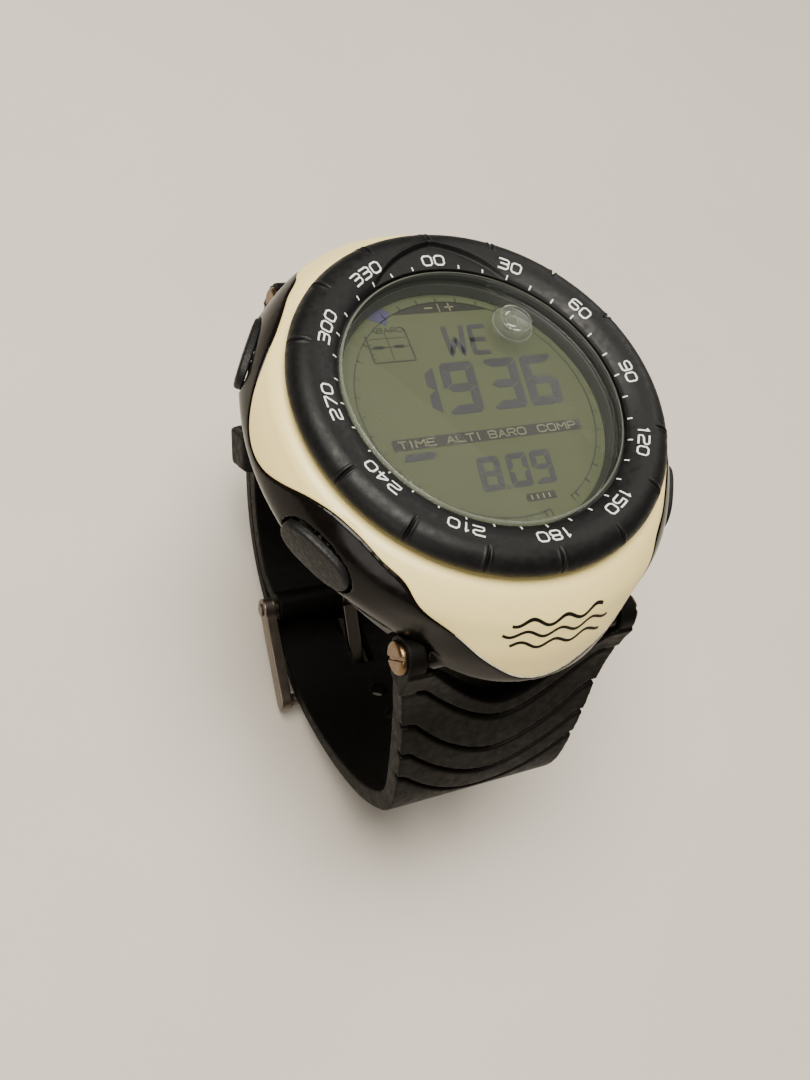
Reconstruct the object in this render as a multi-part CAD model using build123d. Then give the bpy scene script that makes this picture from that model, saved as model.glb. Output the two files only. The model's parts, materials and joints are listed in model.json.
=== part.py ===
from build123d import *
import math
import os

os.makedirs("parts", exist_ok=True)

# Wrist-top instrument on a buckled strap. Millimetres, +Z out of the display,
# +Y to the 12 o'clock side, +X to the 3 o'clock side. Z = 0 is the flat back face.

# ---- driving dimensions -------------------------------------------------
# case envelope: half width at 3/9 o'clock and at 6/12 o'clock, by height
ENV_Z = [0.0, 1.0, 3.0, 5.0, 6.3, 8.0, 9.4, 10.4, 11.1, 11.7]
ENV_SIDE = [24.4, 25.1, 26.4, 27.2, 27.2, 26.75, 26.2, 25.65, 25.2, 24.4]
ENV_END = [31.5, 31.4, 30.9, 30.3, 29.7, 28.65, 27.7, 26.6, 25.6, 24.6]
ENV_WAIST = [0.2, 0.6, 1.0, 1.3, 0.9, 0.1, 0.0, 0.0, 0.0, 0.0]   # flank pulled in beside each lug
WAIST_AT = 34.0          # degrees from the 12 and 6 o'clock axis
WAIST_SPAN = 11.0
COVER_T = 1.2            # cover wall
COVER_TOP_T = 1.0
CASE_TOP_Z = 11.7
# lower edge of the cover: |y| against z, the same on both sides
WAVE = [(0.0, 6.3), (3.4, 7.1), (6.0, 8.6), (8.1, 9.85), (10.7, 10.85), (13.6, 11.1),
        (16.1, 10.9), (18.2, 10.5), (20.8, 9.9), (23.2, 8.5), (25.4, 7.3), (27.4, 6.0),
        (29.7, 3.6), (30.9, 1.8), (31.7, 0.7), (34.0, -3.0)]
JOINT_GAP = 0.04         # cover to body

CAVITY_R = 18.6
CAVITY_Z0 = 1.5
CAVITY_Z1 = 11.2
NECK_R = 19.9
NECK_TOP_Z = 13.2
SEAT_R = 18.4            # crystal seat
SEAT_Z = 12.1
SEAT_HOLE_R = 17.6

BEZEL_BORE_R = 20.0
BEZEL_Z0 = 12.1
BEZEL_LIP_R = 18.1
BEZEL_LIP_Z = 13.5
BEZEL_GRIPS = 16         # even spacing; the ones at 3 and 9 o'clock are left out

CRYSTAL_R = 17.8
CRYSTAL_FLANGE_R = 18.35
CRYSTAL_Z1 = 14.0
LEVEL_X = 8.2            # bubble level in the crystal
LEVEL_Y = 9.9
LEVEL_R = 2.7

LCD_R = 17.4
LCD_Z0 = 9.6
LCD_Z1 = 10.4
PCB_R = 16.5
PCB_Z0 = 5.6
PCB_Z1 = 6.4

BACK_R = 23.0
BACK_T = 1.5
HATCH_HOLE_R = 13.3
HATCH_R = 13.24
BATTERY_R = 12.25
BATTERY_Z0 = 1.9
BATTERY_Z1 = 4.9
BACK_SCREW_R = 20.8

BUTTON_ANGLES = {"button_2": 30.0, "button_10": 150.0, "button_8": 210.0, "button_4": -30.0}
BUTTON_Z = 5.8
BUTTON_HALF_LEN = 5.0
BUTTON_HALF_H = 2.5
BUTTON_INNER = 26.5
BUTTON_OUTER = 28.0
BUTTON_TRAVEL = 0.8
POCKET_FLOOR = 25.6
POCKET_GAP = 0.4
STEM_R = 0.9
STEM_HOLE_R = 0.96
STEM_END = 17.85
COUNTERBORE_R = 1.9
COUNTERBORE_AT = 22.6

LUG_Y = 25.2
LUG_Z = 0.2
LUG_R = 2.2
LUG_HALF_W = 13.1
EAR_IN = 13.3
EAR_OUT = 15.6
EAR_R = 2.6
TUBE_R = 1.0

# outer surface of the long strap half: down from the 6 o'clock lug, along the bottom,
# then as the loose tail up the outside of the short half (y, z)
KEEP_A = (22.5, -40.6)
KEEP_B = (30.3, -31.7)
LONG_OUTER = [(-28.2, 0.3), (-28.35, -2.2), (-28.95, -4.9), (-31.2, -10.1), (-33.2, -14.1),
              (-35.0, -18.3), (-36.2, -21.6), (-36.8, -25.2), (-35.5, -30.0), (-31.6, -35.9),
              (-26.2, -41.0), (-19.4, -45.6), (-12.3, -48.75), (-5.5, -49.9), (1.5, -50.0),
              (8.3, -49.2), (14.4, -47.0), (19.0, -43.95), KEEP_A, (24.45, -38.375),
              (26.4, -36.15), (28.35, -33.925), KEEP_B, (32.5, -28.2), (33.8, -24.6), (34.2, -21.6)]
LONG_T = [3.2, 3.2, 3.2, 3.2, 3.1, 3.0, 2.8, 2.7, 2.5, 2.4,
          2.3, 2.2, 2.2, 2.2, 2.1, 2.0, 2.0, 2.0, 2.0, 2.0,
          2.0, 2.0, 2.0, 2.0, 1.9, 1.6]
STACK = 2.15             # short half's outer surface lies this far inside the tail's
SHORT_HEAD = [(28.2, 0.3), (28.4, -2.2), (29.1, -4.9), (31.0, -10.0), (32.0, -14.5), (32.2, -18.6)]
SHORT_T = 2.2
STRAP_W = [(8.0, 15.6), (-0.9, 15.6), (-4.7, 15.0), (-10.1, 13.9), (-14.1, 13.5),
           (-18.3, 13.1), (-24.0, 12.6), (-29.0, 12.3), (-56.0, 12.2)]
GROOVES = [(-4.1, -11.6), (-9.9, -16.9), (-14.3, -21.0), (-18.3, -25.0)]
GROOVE_W = 0.7
GROOVE_D = 0.8
THROAT_Z = -9.0          # lowest point of the strap's U-shaped upper edge

HINGE = (1.5, -45.0)     # buckle bar
FAR = (-12.3, -50.1)     # buckle frame's far bar
BAR_R = 0.9
BAR_HOLE_R = 0.96
FAR_R = 0.95
ARM_IN = 12.8
ARM_OUT = 14.6
TONGUE_ANGLE = 27.3      # below the horizontal
TONGUE_L = 16.4
TONGUE_T = 1.1
TONGUE_HALF_W = 1.1


# ---- helpers --------------------------------------------------------------
def ring(r_in, r_out, z0, z1):
    body = Pos(0, 0, (z0 + z1) / 2) * Cylinder(r_out, z1 - z0)
    hole = Pos(0, 0, (z0 + z1) / 2) * Cylinder(r_in, z1 - z0 + 1)
    return body - hole


def disc(r, z0, z1, x=0.0, y=0.0):
    return Pos(x, y, (z0 + z1) / 2) * Cylinder(r, z1 - z0)


def block(x0, x1, y0, y1, z0, z1):
    centre = Pos((x0 + x1) / 2, (y0 + y1) / 2, (z0 + z1) / 2)
    return centre * Box(x1 - x0, y1 - y0, z1 - z0)


def rod_x(r, x0, x1, y, z):
    return Pos((x0 + x1) / 2, y, z) * Rot(0, 90, 0) * Cylinder(r, x1 - x0)


def revolve_rz(points):
    face = make_face(Polyline(*[(r, 0, z) for r, z in points], close=True))
    return revolve(face, axis=Axis.Z)


def prism_xz(points, y0, y1):
    """Polygon in the XZ plane at y0, extruded along Y to y1."""
    face = make_face(Polyline(*[(x, y0, z) for x, z in points], close=True))
    return extrude(face, amount=y1 - y0, dir=(0, 1, 0))


def slab_yz(a, b, half_t, x0, x1):
    """Straight bar from a to b in the YZ plane, between two X values."""
    dy = b[0] - a[0]
    dz = b[1] - a[1]
    size = math.hypot(dy, dz)
    ny = -dz / size * half_t
    nz = dy / size * half_t
    points = [(a[0] + ny, a[1] + nz), (b[0] + ny, b[1] + nz),
              (b[0] - ny, b[1] - nz), (a[0] - ny, a[1] - nz)]
    face = make_face(Polyline(*[(x0, y, z) for y, z in points], close=True))
    return extrude(face, amount=x1 - x0, dir=(1, 0, 0))


# ---- case -----------------------------------------------------------------
def section(z, side, end, power, waist):
    points = []
    for i in range(24):
        a = math.radians(15.0 * i)
        off_axis = math.degrees(math.acos(abs(math.sin(a))))
        pull = waist * math.exp(-((off_axis - WAIST_AT) / WAIST_SPAN) ** 2)
        r = side + (end - side) * (math.sin(a) ** 2) ** power - pull
        points.append((r * math.cos(a), r * math.sin(a), z))
    return Wire([Spline(*points, periodic=True)])


def envelope(inset, z_top):
    wires = []
    for z, side, end, waist in zip(ENV_Z, ENV_SIDE, ENV_END, ENV_WAIST):
        level = z * (z_top / CASE_TOP_Z)
        power = 1.0 + max(0.0, 5.0 - z) / 5.0
        wires.append(section(level, side - inset, end - inset, power, waist))
    return Solid.make_loft(wires, False)


def above_wave(lift):
    right = [(y, z + lift) for y, z in WAVE]
    left = [(-y, z) for y, z in right[1:]]
    curve = Spline(*[(0, y, z) for y, z in list(reversed(left)) + right])
    y_end = WAVE[-1][0]
    z_end = WAVE[-1][1] + lift
    frame = Polyline((0, y_end, z_end), (0, y_end, 30), (0, -y_end, 30), (0, -y_end, z_end))
    face = make_face([curve, frame])
    return extrude(face, amount=45, dir=(1, 0, 0), both=True)


def lug_clearance(side):
    cut = rod_x(EAR_R + 0.25, LUG_HALF_W, 20, side * LUG_Y, LUG_Z)
    low = min(side * LUG_Y, side * 36)
    high = max(side * LUG_Y, side * 36)
    cut += block(LUG_HALF_W, 20, low, high, -3, LUG_Z + EAR_R + 0.25)
    low = min(side * (LUG_Y - EAR_R - 0.25), side * 36)
    high = max(side * (LUG_Y - EAR_R - 0.25), side * 36)
    cut += block(LUG_HALF_W, 20, low, high, -3, LUG_Z)
    return cut + mirror(cut, about=Plane.YZ)


def button_pocket(angle):
    plane = Plane(origin=(POCKET_FLOOR, 0, BUTTON_Z), x_dir=(0, 1, 0), z_dir=(1, 0, 0))
    oval = Ellipse(BUTTON_HALF_LEN + POCKET_GAP, BUTTON_HALF_H + POCKET_GAP)
    cut = extrude(plane * oval, amount=10)
    cut += rod_x(COUNTERBORE_R, COUNTERBORE_AT, POCKET_FLOOR + 1, 0, BUTTON_Z)
    cut += rod_x(STEM_HOLE_R, CAVITY_R - 1, COUNTERBORE_AT + 1, 0, BUTTON_Z)
    return Rot(0, 0, angle) * cut


def case_body():
    outer = envelope(0, CASE_TOP_Z) - above_wave(0)
    core = envelope(COVER_T + JOINT_GAP, CASE_TOP_Z - COVER_TOP_T - JOINT_GAP)
    body = outer + core
    body += disc(NECK_R, 9.0, NECK_TOP_Z)
    body -= disc(CAVITY_R, -1, CAVITY_Z1)
    body -= disc(SEAT_HOLE_R, 5, 20)
    body -= disc(SEAT_R, SEAT_Z, 20)
    body -= disc(BACK_R + 0.05, -1, BACK_T)
    body -= ring(NECK_R - 0.5, NECK_R + 3, 12.5, 12.9)
    body -= ring(18.9, 19.7, BACK_T - 0.2, BACK_T + 0.8)
    for side in (1, -1):
        body -= lug_clearance(side)
        body -= block(-20, 20, min(side * 24.3, side * 36), max(side * 24.3, side * 36), -3, 0.5)
        body += rod_x(LUG_R, -LUG_HALF_W, LUG_HALF_W, side * LUG_Y, LUG_Z)
        body -= disc(BACK_R + 0.05, -5, 0)
        body -= rod_x(TUBE_R + 0.05, -20, 20, side * LUG_Y, LUG_Z)
    for angle in BUTTON_ANGLES.values():
        body -= button_pocket(angle)
    for i in range(4):
        a = math.radians(45 + 90 * i)
        body -= disc(0.85, 0, 6.0, BACK_SCREW_R * math.cos(a), BACK_SCREW_R * math.sin(a))
    return body


def top_cover():
    shell = envelope(0, CASE_TOP_Z) - envelope(COVER_T, CASE_TOP_Z - COVER_TOP_T)
    shell = shell & above_wave(JOINT_GAP)
    shell -= disc(NECK_R + 0.3, 5, 20)
    return shell


# ---- bezel ----------------------------------------------------------------
def bezel_ring():
    profile = [(BEZEL_BORE_R, BEZEL_Z0), (23.2, BEZEL_Z0), (23.9, 12.65), (24.15, 13.3),
               (23.95, 13.9), (23.4, 14.5), (22.6, 14.88), (21.7, 15.0), (21.0, 14.93),
               (19.6, 14.62), (18.6, 14.3), (BEZEL_LIP_R, 14.0), (BEZEL_LIP_R, BEZEL_LIP_Z),
               (BEZEL_BORE_R, BEZEL_LIP_Z), (BEZEL_BORE_R, 13.2), (20.7, 13.2),
               (20.7, 12.2), (BEZEL_BORE_R, 12.2)]
    body = revolve_rz(profile)
    grip = Pos(22.9, 0, 14.95) * Rot(0, 90 + 22, 0) * Cylinder(0.3, 2.6)
    for i in range(BEZEL_GRIPS):
        if i not in (BEZEL_GRIPS // 4, 3 * BEZEL_GRIPS // 4):
            body -= Rot(0, 0, 90 + 360.0 / BEZEL_GRIPS * i) * grip
    return body


# ---- crystal and level ------------------------------------------------------
def crystal():
    body = disc(CRYSTAL_R, SEAT_Z, CRYSTAL_Z1)
    body = chamfer(body.edges().group_by(Axis.Z)[-1], 0.25)
    body += disc(CRYSTAL_FLANGE_R, SEAT_Z, 12.6)
    body -= disc(LEVEL_R + 0.1, 12.0, 13.45, LEVEL_X, LEVEL_Y)
    return body


def level_vial():
    body = disc(LEVEL_R, 12.15, 13.4, LEVEL_X, LEVEL_Y)
    return body - disc(LEVEL_R - 0.4, 12.0, 13.1, LEVEL_X, LEVEL_Y)


def level_fluid():
    body = disc(LEVEL_R - 0.4, 12.15, 13.1, LEVEL_X, LEVEL_Y)
    bubble = Pos(LEVEL_X + 0.4, LEVEL_Y + 0.3, 13.25) * Sphere(1.05)
    return body - bubble


# ---- display and electronics ------------------------------------------------
def display_ring():
    return revolve_rz([(17.0, LCD_Z1), (17.5, LCD_Z1), (17.5, 12.05), (17.3, 12.05), (17.05, 10.8)])


def display_housing():
    body = ring(16.6, 18.4, 7.7, LCD_Z0) + ring(17.5, 18.4, LCD_Z0, 11.1)
    return body - block(-3, 3, -19, 19, 7.0, 8.6)


def display_glass():
    body = disc(LCD_R, LCD_Z0, LCD_Z1)
    return body & block(-20, 20, -17.0, 17.0, 5, 15)


def backlight_panel():
    return block(-11.5, 11.5, -11.5, 11.5, 9.0, LCD_Z0) + block(11.4, 14.5, -3, 3, 9.0, 9.3)


def contact_strip(side):
    low = min(side * 12.6, side * 14.2)
    return block(-7.8, 7.8, low, low + 1.6, PCB_Z1, LCD_Z0)


def circuit_board():
    body = disc(PCB_R, PCB_Z0, PCB_Z1)
    body -= block(-2.5, 2.5, 15.6, 20, 0, 10)
    body -= block(-2.5, 2.5, -20, -15.6, 0, 10)
    for x, y in ((14.6, 0), (-14.6, 0)):
        body -= disc(0.8, 0, 10, x, y)
    return body


def chip(x, y, sx, sy, h):
    body = block(x - sx / 2, x + sx / 2, y - sy / 2, y + sy / 2, PCB_Z1, PCB_Z1 + h)
    body = chamfer(body.edges().group_by(Axis.Z)[-1], 0.15)
    return body


def pinned_chip(x, y, sx, sy, h):
    body = chip(x, y, sx, sy, h)
    count = 8
    for i in range(count):
        at = y - sy / 2 + sy * (i + 0.5) / count
        body += block(x - sx / 2 - 0.7, x - sx / 2 + 0.1, at - 0.15, at + 0.15, PCB_Z1, PCB_Z1 + 0.3)
        body += block(x + sx / 2 - 0.1, x + sx / 2 + 0.7, at - 0.15, at + 0.15, PCB_Z1, PCB_Z1 + 0.3)
    return body


def crystal_oscillator():
    return rod_x(1.0, -13.0, -7.0, -5.5, PCB_Z1 + 1.0)


def pressure_sensor():
    body = disc(3.0, PCB_Z1, PCB_Z1 + 1.6, 8.8, 6.0)
    body += disc(1.2, PCB_Z1 + 1.6, PCB_Z1 + 2.3, 8.8, 6.0)
    return body - disc(0.6, PCB_Z1 + 1.2, PCB_Z1 + 3, 8.8, 6.0)


def buzzer():
    body = disc(3.6, PCB_Z1, PCB_Z1 + 2.0, 0, 8.3)
    return body - disc(0.7, PCB_Z1 + 1.5, PCB_Z1 + 3, 0, 8.3)


def receiver_coil():
    rod = rod_x(0.8, -7.5, 7.5, -10.2, PCB_Z1 + 1.25)
    return rod + rod_x(1.2, -5.5, 5.5, -10.2, PCB_Z1 + 1.25)


def battery_tray():
    body = ring(12.45, 14.6, 2.6, PCB_Z0)
    body -= block(12.0, 13.4, -3.5, 3.5, 2.0, PCB_Z0 + 1)
    return body


def battery():
    body = disc(BATTERY_R, BATTERY_Z0, BATTERY_Z1 - 0.4)
    body = chamfer(body.edges(), 0.2)
    return body + disc(10.8, BATTERY_Z1 - 0.6, BATTERY_Z1)


def battery_spring_minus():
    points = [(-4.0, PCB_Z0), (-1.0, PCB_Z0), (3.5, BATTERY_Z1 + 0.2), (4.5, BATTERY_Z1 + 0.2),
              (4.5, BATTERY_Z1), (3.4, BATTERY_Z1), (-1.1, PCB_Z0 - 0.2), (-4.0, PCB_Z0 - 0.2)]
    return prism_xz(points, -1.5, 1.5)


def battery_spring_plus():
    blade = block(12.7, 12.95, -2.8, 2.8, 2.9, PCB_Z0)
    return blade + rod_x(0.7, BATTERY_R, 12.75, 0, 3.6)


# ---- back ---------------------------------------------------------------
def screw_spots():
    spots = []
    for i in range(4):
        a = math.radians(45 + 90 * i)
        spots.append((BACK_SCREW_R * math.cos(a), BACK_SCREW_R * math.sin(a)))
    return spots


def back_cover():
    body = disc(BACK_R, 0, BACK_T)
    body = chamfer(body.edges().group_by(Axis.Z)[0], 0.2)
    body -= disc(HATCH_HOLE_R, -1, 5)
    for x, y in screw_spots():
        body -= disc(0.9, -1, 5, x, y)
        body -= disc(1.6, -1, 0.9, x, y)
    for y in (-1.6, 0, 1.6):
        body -= disc(0.4, -1, 5, -16.2, y)
    return body


def back_screws():
    shapes = None
    for x, y in screw_spots():
        one = disc(1.55, 0.05, 0.9, x, y) + disc(0.8, 0.8, 5.5, x, y)
        one -= block(x - 1.1, x + 1.1, y - 0.2, y + 0.2, -1, 0.45)
        one -= block(x - 0.2, x + 0.2, y - 1.1, y + 1.1, -1, 0.45)
        shapes = one if shapes is None else shapes + one
    return shapes


def back_gasket():
    return ring(18.9, 19.7, BACK_T, BACK_T + 0.8)


def battery_hatch():
    body = disc(HATCH_R, 0, BACK_T)
    body -= ring(12.4, HATCH_R + 1, 0.5, 1.1)
    body += ring(12.6, 12.95, BACK_T, 2.15)
    tabs = ring(12.7, 14.2, 1.65, 2.15)
    keep = None
    for i in range(3):
        wedge = Rot(0, 0, 120 * i) * block(10, 16, -2.6, 2.6, 1.0, 3.0)
        keep = wedge if keep is None else keep + wedge
    body += tabs & keep
    for side in (1, -1):
        body -= block(min(side * 3, side * 9), max(side * 3, side * 9), -0.8, 0.8, -1, 0.75)
    return body


def hatch_o_ring():
    return ring(12.4, 13.2, 0.5, 1.1)


# ---- buttons ------------------------------------------------------------
def button_cap():
    plane = Plane(origin=(BUTTON_INNER, 0, BUTTON_Z), x_dir=(0, 1, 0), z_dir=(1, 0, 0))
    cap = extrude(plane * Ellipse(BUTTON_HALF_LEN, BUTTON_HALF_H), amount=BUTTON_OUTER - BUTTON_INNER)
    cap = fillet(cap.edges().group_by(Axis.X)[-1], 0.6)
    cap += rod_x(STEM_R, STEM_END, BUTTON_INNER + 0.5, 0, BUTTON_Z)
    cap -= rod_x(STEM_R + 1, 17.95, 18.35, 0, BUTTON_Z) - rod_x(STEM_R - 0.3, 17, 19, 0, BUTTON_Z)
    return cap


def button_clip():
    body = rod_x(1.7, 17.95, 18.35, 0, BUTTON_Z) - rod_x(STEM_R - 0.3, 17, 19, 0, BUTTON_Z)
    return body - block(17, 19, -0.45, 0.45, BUTTON_Z - 3, BUTTON_Z)


def button_spring():
    helix = Helix(pitch=0.62, height=1.9, radius=1.4)
    wire = Plane(origin=helix @ 0, z_dir=helix % 0) * Circle(0.2)
    coil = sweep(wire, path=helix)
    return Pos(23.6, 0, BUTTON_Z) * Rot(0, 90, 0) * coil


def button_o_ring():
    return rod_x(1.85, 22.6, 23.2, 0, BUTTON_Z) - rod_x(STEM_HOLE_R, 22, 24, 0, BUTTON_Z)


# ---- strap ----------------------------------------------------------------
def offset_points(points, distances, inward_sign):
    """Move each point of a path sideways; the sign picks the side of travel."""
    out = []
    last = len(points) - 1
    for i, p in enumerate(points):
        a = points[max(i - 1, 0)]
        b = points[min(i + 1, last)]
        dy = b[0] - a[0]
        dz = b[1] - a[1]
        size = math.hypot(dy, dz)
        d = distances[i] * inward_sign
        out.append((p[0] - dz / size * d, p[1] + dy / size * d))
    return out


def strip(outer, inner, half):
    top = Spline(*[(0, y, z) for y, z in outer])
    low = Spline(*[(0, y, z) for y, z in inner])
    start = Line((0, *outer[0]), (0, *inner[0]))
    end = Line((0, *outer[-1]), (0, *inner[-1]))
    face = make_face([top, end, low, start])
    return extrude(face, amount=half, dir=(1, 0, 0), both=True)


def width_block(y0, y1):
    right = [(w, z) for z, w in STRAP_W]
    left = [(-w, z) for w, z in right]
    return prism_xz(right + list(reversed(left)), y0, y1)


def dip(x, edge_z, centre_z, reach, power):
    u = min(abs(x) / reach, 1.0)
    return centre_z + (edge_z - centre_z) * u ** power


def throat_cut(side):
    """The U-shaped upper edge of a strap half: only the outer layer goes."""
    xs = [-12.6 + 25.2 * i / 20 for i in range(21)]
    low = [(x, dip(x, 0.5, THROAT_Z, 12.6, 1.8)) for x in xs]
    points = low + [(12.6, 2.0), (-12.6, 2.0)]
    return prism_xz(points, min(side * 20, side * 45), max(side * 20, side * 45))


def groove_band(edge_z, centre_z, side):
    xs = [-17.0 + 34.0 * i / 34 for i in range(35)]
    low = [(x, dip(x, edge_z, centre_z, 12.4, 1.7)) for x in xs]
    high = [(x, z + GROOVE_W) for x, z in low]
    return prism_xz(low + list(reversed(high)), min(side * 20, side * 45), max(side * 20, side * 45))


def ears(side):
    boss = rod_x(EAR_R, EAR_IN, EAR_OUT, side * LUG_Y, LUG_Z)
    points = [(side * (LUG_Y - EAR_R), LUG_Z), (side * (LUG_Y + EAR_R), LUG_Z),
              (side * 28.55, -3.8), (side * 25.45, -3.8)]
    face = make_face(Polyline(*[(EAR_IN, y, z) for y, z in points], close=True))
    boss += extrude(face, amount=EAR_OUT - EAR_IN, dir=(1, 0, 0))
    boss -= rod_x(TUBE_R, 0, 20, side * LUG_Y, LUG_Z)
    return boss + mirror(boss, about=Plane.YZ)


def strap_hole(y, z, angle):
    return Pos(0, y, z) * Rot(angle, 0, 0) * Cylinder(1.25, 5.5)


def dressed(body, outer, distances, sign, side):
    """Cut the throat and the grooves into the outer layer of one strap half."""
    deep = offset_points(outer, [2.0] * len(outer), sign)
    proud = offset_points(outer, [-1.5] * len(outer), sign)
    layer = strip(proud[:12], deep[:12], 20)
    body -= layer & throat_cut(side)
    shallow = offset_points(outer, [GROOVE_D] * len(outer), sign)
    skin = strip(proud[:12], shallow[:12], 20)
    for edge_z, centre_z in GROOVES:
        body -= skin & groove_band(edge_z, centre_z, side)
    return body


def strap_long():
    inner = offset_points(LONG_OUTER, LONG_T, 1)
    body = strip(LONG_OUTER, inner, 18)
    body = body & width_block(-60, 60)
    body = dressed(body, LONG_OUTER, LONG_T, 1, -1)
    body -= rod_x(LUG_R + 0.2, -EAR_IN, EAR_IN, -LUG_Y, LUG_Z)
    body += ears(-1)
    body -= rod_x(TUBE_R, -20, 20, -LUG_Y, LUG_Z)
    body -= block(-1.6, 1.6, -9.6, -0.6, -56, -44)
    tip = prism_xz([(-16, -20), (16, -20), (16, -33), (12.4, -33), (11.6, -27), (8.5, -23.4),
                    (4.5, -21.9), (0, -21.5), (-4.5, -21.9), (-8.5, -23.4), (-11.6, -27),
                    (-12.4, -33), (-16, -33)], 29, 40)
    body -= tip
    for y, z, angle in ((-15.6, -46.3, 24), (-21.0, -43.7, 32), (-26.0, -40.0, 40),
                        (6.5, -48.5, -6), (12.5, -46.8, -20), (18.2, -43.5, -34)):
        body -= strap_hole(y, z, -angle)
    return body


def short_outer():
    tail = LONG_OUTER[14:24]
    inside = offset_points(tail, [STACK] * len(tail), 1)
    inside = list(reversed(inside[1:]))
    return SHORT_HEAD + inside


def strap_short():
    outer = short_outer()
    distances = []
    for i in range(len(outer)):
        distances.append(max(SHORT_T, 3.2 - 0.17 * i))
    inner = offset_points(outer, distances, -1)
    body = strip(outer, inner, 18)
    body = body & width_block(-60, 60)
    body = dressed(body, outer, distances, -1, 1)
    body -= rod_x(LUG_R + 0.2, -EAR_IN, EAR_IN, LUG_Y, LUG_Z)
    body += ears(1)
    body -= rod_x(TUBE_R, -20, 20, LUG_Y, LUG_Z)
    link_a = (outer[-1][0] + 0.3, outer[-1][1] + 1.05)
    body += slab_yz(HINGE, link_a, 1.1, -12.2, 12.2)
    body += rod_x(2.1, -12.2, 12.2, HINGE[0], HINGE[1])
    body -= rod_x(BAR_R, -20, 20, HINGE[0], HINGE[1])
    body -= block(-1.8, 1.8, -3.0, HINGE[0] + 2.5, -52, -40)
    return body


def lug_tube(side):
    y = side * LUG_Y
    return rod_x(TUBE_R, 0.1 - EAR_OUT, EAR_OUT - 0.1, y, LUG_Z) - rod_x(0.6, -20, 20, y, LUG_Z)


def lug_screws(side):
    y = side * LUG_Y
    head = rod_x(2.05, EAR_OUT, EAR_OUT + 0.8, y, LUG_Z)
    head = fillet(head.edges().group_by(Axis.X)[-1], 0.55)
    head -= block(EAR_OUT + 0.4, 20, y - 3, y + 3, LUG_Z - 0.25, LUG_Z + 0.25)
    head += rod_x(0.6, 12.0, EAR_OUT + 0.2, y, LUG_Z)
    return head + mirror(head, about=Plane.YZ)


# ---- buckle ---------------------------------------------------------------
def buckle_bar():
    return rod_x(BAR_R, -14.9, 14.9, HINGE[0], HINGE[1])


def buckle_frame():
    arm = rod_x(1.7, ARM_IN, ARM_OUT, HINGE[0], HINGE[1])
    arm += rod_x(1.3, ARM_IN, ARM_OUT, FAR[0], FAR[1])
    arm += slab_yz(HINGE, FAR, 1.3, ARM_IN, ARM_OUT)
    arm -= rod_x(BAR_HOLE_R, 0, 20, HINGE[0], HINGE[1])
    body = arm + mirror(arm, about=Plane.YZ)
    return body + rod_x(FAR_R, -13.5, 13.5, FAR[0], FAR[1])


def buckle_tongue():
    a = math.radians(TONGUE_ANGLE)
    tip = (HINGE[0] - TONGUE_L * math.cos(a), HINGE[1] - TONGUE_L * math.sin(a))
    body = slab_yz(HINGE, tip, TONGUE_T / 2, -TONGUE_HALF_W, TONGUE_HALF_W)
    body += rod_x(TONGUE_T / 2, -TONGUE_HALF_W, TONGUE_HALF_W, tip[0], tip[1])
    body += rod_x(1.75, -1.5, 1.5, HINGE[0], HINGE[1])
    return body - rod_x(BAR_HOLE_R, -20, 20, HINGE[0], HINGE[1])


def strap_keeper():
    dy = KEEP_B[0] - KEEP_A[0]
    dz = KEEP_B[1] - KEEP_A[1]
    size = math.hypot(dy, dz)
    mid = (0, (KEEP_A[0] + KEEP_B[0]) / 2, (KEEP_A[1] + KEEP_B[1]) / 2)
    plane = Plane(origin=mid, x_dir=(1, 0, 0), z_dir=(0, dy / size, dz / size))
    outer = Pos(0, -2.3) * RectangleRounded(28.6, 8.0, 1.6)
    inner = Pos(0, -2.25) * Rectangle(25.6, 5.2)
    return extrude(plane * (outer - inner), amount=2.75, both=True)


# ---- build ----------------------------------------------------------------
def save(shape, name):
    export_step(shape, "parts/" + name + ".step")
    print(name, round(shape.volume, 1), len(shape.solids()), shape.is_valid)


save(case_body(), "case_body")
save(top_cover(), "top_cover")
save(bezel_ring(), "bezel_ring")
save(ring(19.4, 20.35, 12.52, 12.88) - block(-30, 0, -0.6, 0.6, 10, 15), "bezel_retaining_ring")
save(ring(20.6, 22.8, CASE_TOP_Z, CASE_TOP_Z + 0.1), "bezel_glide_washer")
save(crystal(), "crystal")
save(ring(17.85, SEAT_R, 12.6, 13.2), "crystal_gasket")
save(level_vial(), "level_vial")
save(level_fluid(), "level_fluid")
save(display_ring(), "display_ring")
save(display_housing(), "display_housing")
save(display_glass(), "display_glass")
save(backlight_panel(), "backlight_panel")
save(contact_strip(1), "contact_strip_12")
save(contact_strip(-1), "contact_strip_6")
save(circuit_board(), "circuit_board")
save(pinned_chip(0, -2.0, 8, 8, 1.1), "processor")
save(pinned_chip(9.6, -3.2, 5, 6, 0.9), "memory_chip")
save(crystal_oscillator(), "crystal_oscillator")
save(chip(-8.6, 4.8, 6.5, 6.5, 1.8), "compass_sensor")
save(pressure_sensor(), "pressure_sensor")
save(buzzer(), "buzzer")
save(receiver_coil(), "receiver_coil")
save(battery_tray(), "battery_tray")
save(battery(), "battery")
save(battery_spring_minus(), "battery_spring_minus")
save(battery_spring_plus(), "battery_spring_plus")
save(back_cover(), "back_cover")
save(back_gasket(), "back_gasket")
save(back_screws(), "back_screws")
save(battery_hatch(), "battery_hatch")
save(hatch_o_ring(), "hatch_o_ring")

cap = button_cap()
clip = button_clip()
coil = button_spring()
seal = button_o_ring()
for name, angle in BUTTON_ANGLES.items():
    turn = Rot(0, 0, angle)
    save(turn * cap, name)
    save(turn * clip, name + "_clip")
    save(turn * coil, name + "_spring")
    save(turn * seal, name + "_o_ring")

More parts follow.
